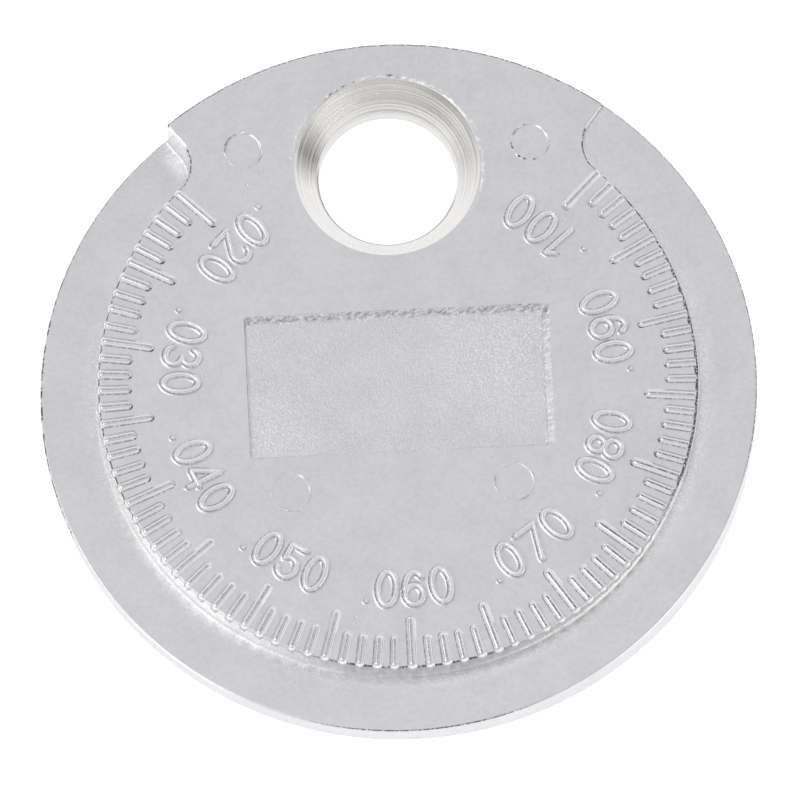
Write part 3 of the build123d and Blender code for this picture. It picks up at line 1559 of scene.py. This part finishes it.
@dataclass
class ScaleRibs:
    """The raised marks of the scale, one for each thousandth."""

    rule: ReadingRule
    plate: DialPlate
    short_length: float = 1.7
    long_length: float = 2.7
    width: float = 0.52
    height: float = 0.145
    sink: float = 0.02
    overhang: float = 0.11
    drop: float = 0.30
    shoulder: float = 0.63
    crown_waist: float = 0.66
    crown_steepness: float = 6.0
    short_fall: float = 0.16
    jog: float = 0.0018
    widths: tuple[float, float] = (0.90, 1.08)
    seed: int = 7

    def placed(self, graph: GeometryGraph) -> Value:
        """Set the two kinds of ribs round the dial.

        Args:
            graph: The tree's graph.

        Returns:
            The ribs as instances.
        """
        given = graph.given
        ribs = [self.rib(graph, given[name]) for name in ("Short Length", "Long Length")]
        kinds = self.joined(graph, ribs)
        sockets = {"Count": given["Count"], "Offset": (0.0, 0.0, 0.0)}
        line = graph.node("GeometryNodeMeshLine", {"mode": "OFFSET"}, sockets)
        index = graph.node("GeometryNodeInputIndex")
        share = index / (given["Count"] - 1.0)
        jog = self.random(graph, given["Seed"], -self.jog, self.jog)
        angle = given["First Angle"] + share * given["Sweep"] + jog
        long_rib = index.math("MODULO", given["Per Long Rib"]).math("LESS_THAN", 0.5)
        wide = self.random(graph, given["Seed"] + 1.0, *self.widths)
        sockets = {
            "Points": line,
            "Instance": kinds,
            "Pick Instance": True,
            "Instance Index": long_rib,
            "Rotation": graph.vector(0.0, 0.0, angle),
            "Scale": graph.vector(1.0, wide, 1.0),
        }
        return graph.node("GeometryNodeInstanceOnPoints", None, sockets)

    def shaded(self, graph: GeometryGraph, placed: Value) -> Value:
        """Paint shade on the feet of the ribs on one side and a highlight on the other, shade on
        their inner tips except in front and on their crowns at the lower right, and a highlight
        on their outer ends that turns to shade at the right. At the right they also stop short of
        the edge.

        Args:
            graph: The tree's graph.
            placed: The ribs as instances, whose marks hold, in order, how near a point lies
                to the tip, how near to the outer end, its lane and its relief.

        Returns:
            The ribs with their tone set, and their lift and grit cleared.
        """
        real = graph.node("GeometryNodeRealizeInstances", None, {"Geometry": placed})
        tip, tone, lane, relief = (graph.mark(name) for name in MARKS)
        x, y, _ = (part * (1 / MM) for part in graph.place())
        radius = (x * x + y * y) ** 0.5
        right = x.step(10.0, 12.5) * y.step(-10.0, -6.0)
        # Painted shade and highlight on the ribs' inner tips, feet and lower right crowns
        painted_shading = tip * y.step(-9.5, -6.0) * 0.9
        lee = lane * (y * 0.6 - x * 0.8) / radius
        painted_shading = painted_shading + relief.band(0.5, 0.17) * (lee.step(-0.2, 0.5) * 1.25 - 0.6)
        lower_right = ((x - y) / radius).step(1.05, 1.35)
        painted_shading = painted_shading + relief.step(0.84, 0.97) * lower_right * 0.5
        back = right * tone * (-self.short_fall * MM) / radius
        real = graph.moved(real, graph.vector(x * back, y * back, 0.0))
        # The outer ends take a painted highlight, turned to painted shade at the right
        tone = tone * (1.0 - right * 3.2) * (1.0 - lane * lane) - painted_shading
        return graph.marked(real, {"tone": tone, "lift": 0.0, "grit": 0.0})

    def random(self, graph: GeometryGraph, seed: Value, low: float, high: float) -> Value:
        """Return a random value between low and high for each rib."""
        # Min and Max stand there once for each data type, so those of FLOAT go by number
        sockets = {2: low, 3: high, "Seed": seed}
        return graph.node("FunctionNodeRandomValue", {"data_type": "FLOAT"}, sockets)

    def joined(self, graph: GeometryGraph, ribs: Sequence[Value]) -> Value:
        """Return the ribs as a choice of instances, in order.

        Args:
            graph: The tree's graph.
            ribs: The rib meshes.

        Returns:
            The choice.
        """
        # The link that is made last comes first
        singles = [
            graph.node("GeometryNodeGeometryToInstance", None, {"Geometry": rib})
            for rib in reversed(ribs)
        ]
        return graph.node("GeometryNodeJoinGeometry", None, {"Geometry": singles})

    def rib(self, graph: GeometryGraph, length: Value) -> Value:
        """Shape one rib from a block: round inner end, low crown, and an outer end that
        comes down over the edge of the dial.

        Args:
            graph: The tree's graph.
            length: The rib's length inside the dial's edge.

        Returns:
            The rib's mesh, lying along +X.
        """
        given = graph.given
        vertices = {"Vertices X": 21, "Vertices Y": 15, "Vertices Z": 2}
        block = graph.node("GeometryNodeMeshCube", None, vertices)
        x, y, z = graph.place()
        along = (1.0 - ((x + 0.5) * math.pi).math("COSINE")) * 0.5
        lane = (y * 2.0).math("ABSOLUTE") * 2.0 - 1.0
        outer = lane.math("GREATER_THAN", 0.0)
        across = self.shoulder + lane.math("ABSOLUTE") ** 1.6 * (outer - self.shoulder)
        across = across * y.math("SIGN")
        half = given["Width"] * 0.5
        reach = length + given["Overhang"]
        travel = along * reach
        tip = ((half - travel) / half).math("MAXIMUM", 0.0)
        tip_width = (1.0 - tip * tip).math("MAXIMUM", 0.0) ** 0.5
        from_axis = (tip * tip + (across * tip_width) ** 2.0) ** 0.5
        crown = 1.0 / (1.0 + (from_axis / self.crown_waist) ** self.crown_steepness)
        past = travel - (length - given["Overhang"])
        end = (past / (given["Overhang"] * 2.0)).math("MAXIMUM", 0.0)
        fall = (1.0 - end * end).math("MAXIMUM", 0.0) ** 0.5
        narrow = 1.0 - end * end * 0.5
        under = given["Sink"] + (given["Drop"] - given["Sink"]) * end.math("MINIMUM", 1.0)
        over = (given["Height"] * crown + given["Drop"]) * fall - given["Drop"]
        upper = (z + 0.5).math("GREATER_THAN", 0.5)
        level = upper * over.math("MAXIMUM", 0.0 - under) - (1.0 - upper) * under
        radius = given["Dial Radius"] - length + travel
        side = across * half * tip_width * narrow
        place = graph.vector(radius, side, given["Face Height"] + level)
        relief = (1.0 - from_axis * 0.54) * (1.0 - end.math("MINIMUM", 1.0))
        marks = dict(zip(MARKS, (tip, end, across * tip_width, relief)))
        rib = {"Geometry": graph.marked(block, marks)}
        rib["Geometry"] = graph.node("GeometryNodeSetPosition", None, {**rib, "Position": place})
        rib["Geometry"] = graph.node("GeometryNodeMergeByDistance", None, {**rib, "Distance": 1e-7})
        return graph.node("GeometryNodeSetShadeSmooth", None, {**rib, "Shade Smooth": True})

    def build(self, material: bpy.types.Material) -> bpy.types.Object:
        """Make all the ribs as one piece.

        Args:
            material: Their finish.

        Returns:
            The piece.
        """
        values = {
            "Count": self.rule.last - self.rule.first + 1,
            "Per Long Rib": self.rule.per_long_mark,
            "First Angle": math.radians(self.rule.first_angle),
            "Sweep": math.radians(self.rule.sweep),
            "Dial Radius": self.plate.dial_radius * MM,
            "Face Height": self.plate.face_height * MM,
            "Short Length": self.short_length * MM,
            "Long Length": self.long_length * MM,
            "Width": self.width * MM,
            "Height": self.height * MM,
            "Sink": self.sink * MM,
            "Overhang": self.overhang * MM,
            "Drop": self.drop * MM,
            "Seed": self.seed,
            "Material": material,
        }
        graph = GeometryGraph("scale ribs", values)
        made = new_object("scale_ribs", bpy.data.meshes.new("scale_ribs"))
        graph.shape(made, self.shaded(graph, self.placed(graph)))
        return settle_normals(made, self.plate.face_height)


@dataclass
class Bead:
    """A raised stroke with a round crown, steep flanks and a foot that runs into the face."""

    half_width: float = 0.33
    height: float = 0.13
    sink: float = 0.02
    waist: float = 0.38
    steepness: float = 3.6
    crown_tone: float = 0.65
    flank_tone: float = -0.68
    waver: float = 0.06
    lanes: tuple[float, ...] = (0.0, 0.1, 0.2, 0.28, 0.36, 0.44, 0.54, 0.66, 0.82, 1.0)

    def rise(self, distance: float) -> float:
        """Return the stroke's height at a distance from its line, in half widths."""
        foot = self.height / (1.0 + (1.0 / self.waist) ** self.steepness)
        return self.height / (1.0 + (distance / self.waist) ** self.steepness) - foot

    def sweep(self, shell: Shell, path: Sequence[Point2], closed: bool, level: float) -> None:
        """Carry the stroke along a path.

        Args:
            shell: The mesh being made.
            path: The stroke's line.
            closed: Whether the path is a loop.
            level: The height of the face that it stands on.
        """
        rows = []
        count = len(path)
        for i, (x, y) in enumerate(path):
            before = path[(i - 1) % count] if closed or i else path[0]
            after = path[(i + 1) % count] if closed or i < count - 1 else path[-1]
            rows.append(self.row(shell, (x, y), self.heading(before, after), 0.0, level))
        if closed:
            rows.append(rows[0])
        else:
            head = self.heading(path[1], path[0])
            tail = self.heading(path[-2], path[-1])
            turns = spread(0.0, 90.0, 18.0)[1:]
            first = [self.row(shell, path[0], head, t, level, flipped=True) for t in turns]
            last = [self.row(shell, path[-1], tail, t, level) for t in turns]
            rows = first[::-1] + rows + last
        shell.bridges(rows)

    def heading(self, first: Point2, second: Point2) -> Point2:
        """Return the direction from one point to another.

        Args:
            first: The point it starts from.
            second: The point it leads to.

        Returns:
            The direction, of length 1.
        """
        dx, dy = second[0] - first[0], second[1] - first[1]
        size = math.hypot(dx, dy) or 1.0
        return dx / size, dy / size

    def row(
        self,
        shell: Shell,
        place: Point2,
        along: Point2,
        turn: float,
        level: float,
        flipped: bool = False,
    ) -> list[int]:
        """Add one cross section, closed below the face.

        Args:
            shell: The mesh being made.
            place: The path's point.
            along: The path's direction there, outwards at an end.
            turn: How far round the rounded end it lies, 0 on the path.
            level: The height of the face.
            flipped: Whether the row runs the other way across.

        Returns:
            The row.
        """
        sine, cosine = math.sin(math.radians(turn)), math.cos(math.radians(turn))
        sx, sy = -along[1], along[0]
        lanes = [-lane for lane in self.lanes[:0:-1]] + list(self.lanes)
        if flipped:
            lanes = [-lane for lane in lanes]
        points, tones = [], []
        for lane in lanes:
            side, ahead = lane * cosine * self.half_width, sine * self.half_width
            x = place[0] + along[0] * ahead + sx * side
            y = place[1] + along[1] * ahead + sy * side
            distance = math.hypot(sine, lane * cosine)
            height = self.rise(distance) * (1.0 + self.waver * unevenness(x, y, 2.0, 0.3))
            points.append((x, y, level + height))
            tones.append(self.tone(distance, x - place[0], y - place[1]))
        for x, y, _ in (points[-1], points[0]):
            points.append((x, y, level - self.sink))
            tones.append(0.0)
        return shell.ring(points, tone=tones, grit=[max(0.0, tone) for tone in tones])

    def tone(self, distance: float, x: float, y: float) -> float:
        """Return the tone of a stroke: a painted highlight on its crown, and painted shade at the
        feet of its flanks, most at the left.

        Args:
            distance: The distance from the stroke's line, in half widths.
            x: How far it lies from the line along X.
            y: How far it lies from the line along Y.

        Returns:
            The tone.
        """
        size = math.hypot(x, y) or 1.0
        crown = peak(distance, 0.0, 0.32)
        flank = peak(distance, 0.43, 0.24)
        # Painted shade, deepest on the flanks that face left and down
        flank *= min(1.0, 0.80 - 0.3 * x / size - 0.1 * y / size)
        return crown * self.crown_tone + flank * self.flank_tone


@dataclass
class Pen:
    """Draws the lines of one figure, in millimetres from the figure's middle."""

    step: float = 0.07
    least_gap: float = 0.02
    lines: list[tuple[list[Point2], bool]] = field(default_factory=list)

    def arc(
        self, x: float, y: float, wide: float, tall: float, start: float, end: float
    ) -> list[Point2]:
        """Return the points of an elliptical arc.

        Args:
            x: Its middle.
            y: Its middle.
            wide: Its half width.
            tall: Its half height.
            start: The angle where it starts.
            end: The angle where it ends.

        Returns:
            The points.
        """
        points = []
        for angle in spread(start, end, math.degrees(self.step / max(wide, tall))):
            cosine, sine = polar(1.0, angle)
            points.append((x + wide * cosine, y + tall * sine))
        return points

    def line(self, *corners: Point2) -> list[Point2]:
        """Return the points of straight runs between corners.

        Args:
            corners: The corners, in order.

        Returns:
            The points.
        """
        points = [corners[0]]
        for first, last in zip(corners, corners[1:]):
            for share in spread(0.0, 1.0, min(1.0, self.step / math.dist(first, last)))[1:]:
                x, y = (start + (end - start) * share for start, end in zip(first, last))
                points.append((x, y))
        return points

    def add(self, *runs: list[Point2], closed: bool = False) -> None:
        """Add one stroke made of runs that follow each other.

        Args:
            runs: The runs, in order.
            closed: Whether it is a loop.
        """
        points: list[Point2] = []
        for run in runs:
            points += [p for p in run if not points or math.dist(p, points[-1]) > self.least_gap]
        if closed and math.dist(points[0], points[-1]) < 1.5 * self.least_gap:
            points.pop()
        self.lines.append((points, closed))


@dataclass
class ReadingNumbers:
    """The numbers at every tenth mark, with their decimal points."""

    rule: ReadingRule
    plate: DialPlate
    bead: Bead = field(default_factory=Bead)
    half_width: float = 0.457
    half_height: float = 0.875
    radius: float = 10.93
    point_radius: float = 11.68
    point_size: float = 0.27
    point_rise: float = 0.8
    point_corners: int = 20
    places: tuple[float, float, float] = (-5.65, 1.35, 8.65)
    point_place: float = -10.7
    jogs: dict[int, tuple[float, float, float]] = field(
        default_factory=lambda: {40: (0.0, 0.0, -0.2), 70: (0.0, 0.95, 1.4), 100: (0.7, -0.4, -0.4)}
    )
    step: int = 10

    def turns(self, reading: int) -> list[float]:
        """Return how far each figure of a number lies from its mark, in degrees."""
        jogs = self.jogs.get(reading, (0.0, 0.0, 0.0))
        return [place + jog for place, jog in zip(self.places, jogs)]

    def figure(self, digit: str) -> Pen:
        """Draw one figure.

        Args:
            digit: The figure.

        Returns:
            Its strokes.
        """
        pen, w, h = Pen(), self.half_width, self.half_height
        if digit == "0":
            pen.add(pen.arc(0, 0, w, h, 0, 360), closed=True)
        elif digit == "1":
            pen.add(pen.line((-0.36, h - 0.36), (0.0, h), (0.0, -h)))
        elif digit == "2":
            bowl = pen.arc(0, h - 0.42, w - 0.03, 0.42, 172, -38)
            pen.add(bowl, pen.line(bowl[-1], (0.02 - w, -h), (w + 0.12, -h)))
        elif digit == "3":
            upper = pen.arc(-0.02, 0.42, w - 0.06, 0.41, 160, -80)
            lower = pen.arc(-0.02, -0.42, w, 0.43, 80, -160)
            pen.add(upper)
            pen.add(lower)
        elif digit == "4":
            pen.add(pen.line((0.25, -h - 0.04), (0.25, h), (-w - 0.03, -0.44), (w - 0.04, -0.44)))
        elif digit == "5":
            bowl = pen.arc(-0.01, -0.31, w, 0.54, 136, -155)
            pen.add(pen.line((w - 0.02, h), (-0.36, h), bowl[0]), bowl)
        elif digit == "6":
            self.six(pen, 1.0)
        elif digit == "7":
            pen.add(pen.line((-w - 0.10, h), (w + 0.12, h), (-0.24, -h)))
        elif digit == "8":
            pen.add(pen.arc(0, 0.44, w - 0.08, 0.40, 0, 360), closed=True)
            pen.add(pen.arc(0, -0.40, w - 0.01, 0.43, 0, 360), closed=True)
        elif digit == "9":
            self.six(pen, -1.0)
        return pen

    def six(self, pen: Pen, way: float) -> None:
        """Draw a six, or a nine as a six turned round.

        Args:
            pen: The figure's pen.
            way: 1 for a six, -1 for a nine.
        """
        w = self.half_width
        bowl = pen.arc(0, -0.33, w, 0.51, 0, 360)
        back = pen.arc(0.05, -0.1, w + 0.05, 0.94, 178, 48)
        for line, closed in ((bowl, True), (back, False)):
            pen.add([(x * way, y * way) for x, y in line], closed=closed)

    def place(self, point: Point2, angle: float, radius: float) -> Point2:
        """Put a figure's point on the dial, its top towards the centre.

        Args:
            point: The point, from the figure's middle.
            angle: The figure's angle.
            radius: The figure's radius.

        Returns:
            The point on the face.
        """
        ux, uy = polar(1.0, angle)
        out = radius - point[1]
        return ux * out - uy * point[0], uy * out + ux * point[0]

    def build(self, material: bpy.types.Material) -> bpy.types.Object:
        """Make all the numbers as one piece.

        Args:
            material: Their finish.

        Returns:
            The piece.
        """
        shell = Shell()
        level = self.plate.face_height
        for reading in range(self.rule.first, self.rule.last + 1, self.step):
            angle = self.rule.angle(reading)
            for digit, turn in zip(f"{reading:03d}", self.turns(reading)):
                for line, closed in self.figure(digit).lines:
                    path = [self.place(p, angle + turn, self.radius) for p in line]
                    self.bead.sweep(shell, path, closed, level)
            self.point(shell, angle + self.point_place, level)
        return settle_normals(shell.build("reading_numbers", [material]), level)

    def point(self, shell: Shell, angle: float, level: float) -> None:
        """Add a decimal point as a small button.

        Args:
            shell: The mesh being made.
            angle: Its angle.
            level: The height of the face.
        """
        cx, cy = polar(self.point_radius, angle)
        rows = []
        for share in self.bead.lanes:
            ring = []
            height = level + self.point_rise * self.bead.rise(share)
            for i in range(self.point_corners):
                turn = 360.0 / self.point_corners * i
                ox, oy = polar(max(share, 0.04) * self.point_size, turn)
                ring.append((cx + ox, cy + oy, height))
            tones = [self.bead.tone(share, px - cx, py - cy) for px, py, _ in ring]
            rows.append(shell.ring(ring, tone=tones))
        shell.button(rows, level - self.bead.sink)


@dataclass(frozen=True)
class Pin:
    """One of the mould's pins, and the height of the mark that it leaves."""

    x: float
    y: float
    radius: float
    height: float


@dataclass
class MouldMarks:
    """Round witness marks that the mould's pins leave on the face.

    Each row of the profile is a loop's share of the radius, its share of the height, and how
    much of the painted highlight and shade it takes.
    """

    plate: DialPlate
    pins: tuple[Pin, ...] = (
        Pin(-7.21, 12.69, 0.975, 0.030),
        Pin(7.24, 12.42, 0.985, 0.030),
        Pin(-5.64, -5.53, 1.05, 0.014),
        Pin(5.57, -5.55, 1.04, 0.014),
    )
    profile: tuple[tuple[float, float, float], ...] = (
        (0.02, 0.2, 0.0),
        (0.84, 0.2, 0.0),
        (0.90, 0.4, 0.0),
        (0.93, 1.0, 0.5),
        (0.96, 0.75, 1.0),
        (1.0, 0.15, 0.6),
        (1.05, 0.02, 0.0),
    )
    corners: int = 72
    full_height: float = 0.030
    sink: float = 0.02

    def build(self, material: bpy.types.Material) -> bpy.types.Object:
        """Make the marks as one piece.

        Args:
            material: Their finish.

        Returns:
            The piece.
        """
        shell = Shell()
        level = self.plate.face_height
        for pin in self.pins:
            rows = [self.loop(shell, pin, level, *row) for row in self.profile]
            shell.button(rows, level - self.sink)
        return settle_normals(shell.build("mould_marks", [material]), level)

    def loop(
        self, shell: Shell, pin: Pin, level: float, reach: float, rise: float, mark: float
    ) -> list[int]:
        """Add one loop of a mark, whose ridge comes and goes.

        Args:
            shell: The mesh being made.
            pin: The mark's pin.
            level: The height of the face.
            reach: The loop's share of the radius.
            rise: Its share of the height.
            mark: How much of the painted highlight and shade it takes.

        Returns:
            The loop.
        """
        points, tones = [], []
        for i in range(self.corners):
            x, y = polar(reach * pin.radius, 360.0 / self.corners * i)
            wave = 1.0 + 2.0 * unevenness(pin.x, pin.y + i * 0.13, 0.0, 0.6) * (reach > 0.87)
            height = level + pin.height * rise * max(0.1, wave)
            points.append((pin.x + x, pin.y + y, height))
            # Painted highlight on the side towards +X and +Y, painted shade on the other, broken up
            painted_light = x + 0.4 * y - 0.3 + 3.0 * unevenness(pin.x + i * 0.17, pin.y, 3.0, 0.4)
            painted_light = clamped(painted_light, -pin.height / self.full_height, 0.9)
            painted_light *= mark * min(1.0, pin.height / self.sink)
            tones.append(painted_light * max(0.0, wave - 0.5))
        return shell.ring(points, tone=tones)


# The studio


@dataclass(frozen=True)
class Softbox:
    """A large soft lamp that faces the gauge."""

    name: str
    azimuth: float
    elevation: float
    distance: float
    width: float
    height: float
    level: float

    def build(self) -> None:
        """Make the lamp. Its level is how bright its front looks, where 1 is white."""
        light = bpy.data.lights.new(self.name, "AREA")
        light.shape = "RECTANGLE"
        light.size = self.width
        light.size_y = self.height
        light.energy = self.level * math.pi * self.width * self.height
        made = new_object(self.name, light)
        back = direction(self.azimuth, self.elevation)
        made.location = back * self.distance
        made.rotation_euler = back.to_track_quat("Z", "Y").to_euler()
        made.visible_camera = False


def direction(azimuth: float, elevation: float) -> Vector:
    """Return the direction from the gauge towards a place round it.

    Args:
        azimuth: 0 in front of the gauge, 90 on its right.
        elevation: The angle above the floor.

    Returns:
        The direction, of length 1.
    """
    a, e = math.radians(azimuth), math.radians(elevation)
    return Vector((math.sin(a) * math.cos(e), -math.cos(a) * math.cos(e), math.sin(e)))


@dataclass(frozen=True)
class Flag:
    """A dark card in the room, or whatever else leaves a patch of it dark."""

    azimuth: float
    elevation: float
    radius: float
    depth: float
    edge: tuple[float, float] = (1.25, 0.7)

    def shade(self, graph: Graph, way: Value) -> Value:
        """Return what the flag leaves of the room's light in each direction.

        Args:
            graph: The world's graph.
            way: The direction.

        Returns:
            A factor, 1 outside the flag.
        """
        middle = direction(self.azimuth, self.elevation)
        towards = graph.vector_math("DOT_PRODUCT", way, tuple(middle))
        outer, inner = (math.cos(math.radians(self.radius * share)) for share in self.edge)
        return 1.0 - towards.step(outer, inner) * self.depth


@dataclass
class Studio:
    """White floor and room, soft lamps, and the camera of the picture."""

    camera_azimuth: float = -1.158
    camera_elevation: float = 71.335
    camera_roll: float = -1.681
    camera_distance: float = 1.0
    camera_reach: tuple[float, float] = (0.05, 10.0)
    sensor_width: float = 36.0
    pixels_per_mm: float = 19.884
    frame_pixels: int = 800
    target: Point2 = (0.0620, -0.0535)
    dome_level: float = 0.785
    horizon_level: float = 0.40
    horizon: tuple[float, float] = (0.52, 0.22)
    floor_radius: float = 2.0
    floor_drop: float = 0.00002
    floor_greys: tuple[float, float] = (0.32, 0.34)
    floor_glow: float = 0.88
    lamps: tuple[Softbox, ...] = (
        Softbox("key", -92.0, 66.0, 0.8, 0.34, 0.34, 1.8),
        Softbox("right", 75.0, 30.0, 0.8, 0.4, 0.3, 0.4),
    )
    flags: tuple[Flag, ...] = (
        Flag(-1.2, 71.3, 19.0, 0.3),
        Flag(-113.0, 36.0, 18.0, 0.55),
        Flag(90.0, 49.0, 16.0, 0.65),
    )

    def build(self) -> None:
        """Make the whole studio."""
        self.build_camera()
        self.build_world()
        self.build_floor()
        for lamp in self.lamps:
            lamp.build()
        bpy.context.scene.view_settings.view_transform = "Standard"

    def build_camera(self) -> None:
        """Put the camera where the picture was taken from."""
        data = bpy.data.cameras.new("camera")
        data.sensor_width = self.sensor_width
        focal_pixels = self.pixels_per_mm * self.camera_distance / MM
        data.lens = focal_pixels * data.sensor_width / self.frame_pixels
        data.clip_start, data.clip_end = self.camera_reach
        made = new_object("camera", data)
        back = direction(self.camera_azimuth, self.camera_elevation)
        level = direction(self.camera_azimuth + 90.0, 0.0)
        upright = back.cross(level)
        roll = math.radians(self.camera_roll)
        right = level * math.cos(roll) + upright * math.sin(roll)
        up = upright * math.cos(roll) - level * math.sin(roll)
        matrix = Matrix((right, up, back)).transposed().to_4x4()
        target = Vector((self.target[0] * MM, self.target[1] * MM, 0.0))
        matrix.translation = target + back * self.camera_distance
        made.matrix_world = matrix
        bpy.context.scene.camera = made

    def build_world(self) -> None:
        """Make the room: white to the eye, and a soft even light for the rest."""
        world = bpy.data.worlds.new("room")
        bpy.context.scene.world = world
        world.use_nodes = True
        graph = Graph(world.node_tree)
        way = graph.node("ShaderNodeTexCoord", None, None, "Generated")
        _, _, height = graph.parts(way)
        dome = height.step(*self.horizon) * self.horizon_level + self.dome_level
        for flag in self.flags:
            dome = dome * flag.shade(graph, way)
        path = graph.node("ShaderNodeLightPath", None, None, "Is Camera Ray")
        light, seen = (
            graph.node("ShaderNodeBackground", None, {"Color": WHITE, "Strength": strength})
            for strength in (dome, 1.0)
        )
        mixed = graph.node("ShaderNodeMixShader", None, {0: path, 1: light, 2: seen})
        graph.node("ShaderNodeOutputWorld", None, {"Surface": mixed})

    def build_floor(self) -> None:
        """Make the pale floor just under the gauge."""
        work = bmesh.new()
        bmesh.ops.create_circle(work, cap_ends=True, radius=self.floor_radius, segments=96)
        bmesh.ops.translate(work, verts=work.verts, vec=(0.0, 0.0, -self.floor_drop))
        mesh = bpy.data.meshes.new("floor")
        work.to_mesh(mesh)
        work.free()
        mesh.materials.append(self.floor_material())
        new_object("floor", mesh)

    def floor_material(self) -> bpy.types.Material:
        """Make the floor white to the eye and in the metal, with the gauge's shadow kept.

        Returns:
            The material.
        """
        made = bpy.data.materials.new("pale floor")
        made.use_nodes = True
        graph = Graph(made.node_tree)
        paths = graph.node("ShaderNodeLightPath").socket.node.outputs
        camera, glossy, through = (
            Value(graph, paths[f"Is {ray} Ray"]) for ray in ("Camera", "Glossy", "Transmission")
        )
        seen = camera.math("MAXIMUM", glossy).math("MAXIMUM", through)
        grain = graph.noise(graph.node("ShaderNodeTexCoord", None, None, "Object"), 4.0)
        tint = graph.colour_mix(grain, *((grey, grey, grey, 1.0) for grey in self.floor_greys))
        matt = graph.node("ShaderNodeBsdfDiffuse", None, {"Color": tint})
        glow = graph.node("ShaderNodeEmission", None, {"Strength": seen * self.floor_glow})
        both = graph.node("ShaderNodeAddShader", None, {0: matt, 1: glow})
        graph.node("ShaderNodeOutputMaterial", None, {"Surface": both})
        return made


def place_on_body(piece: bpy.types.Object, replaces: bool = False) -> None:
    """Let a piece ride on the gauge, and report it.

    Args:
        piece: The finished piece.
        replaces: Whether it stands for the CAD disc.
    """
    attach(piece, BODY)
    if replaces:
        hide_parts(NODE)
    triangles = sum(len(face.vertices) - 2 for face in piece.data.polygons)
    LOG.info("%s: %d triangles", piece.name, triangles)


def main() -> None:
    """Build the gauge and its studio in order."""
    logging.basicConfig(level=logging.INFO, format="%(message)s")
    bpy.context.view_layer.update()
    Studio().build()
    rule = ReadingRule()
    plate = DialPlate(rule)
    casting = PlatedFinish("satin plating", Wear.CAST).material()
    turned = PlatedFinish(
        "turned plating",
        Wear.TURNED,
        colour=(0.845, 0.835, 0.82),
        deep_colour=(0.70, 0.69, 0.675),
    )
    cone = turned.material((0.0, plate.hole_distance))
    blasted = PlatedFinish("blasted plating", Wear.BLASTED).material()
    place_on_body(plate.build([casting, cone, blasted]), replaces=True)
    place_on_body(RampRing(rule, plate).build(casting), replaces=True)
    place_on_body(ScaleRibs(rule, plate).build(casting))
    place_on_body(ReadingNumbers(rule, plate).build(casting))
    place_on_body(MouldMarks(plate).build(casting))


if __name__ == "__main__":
    main()
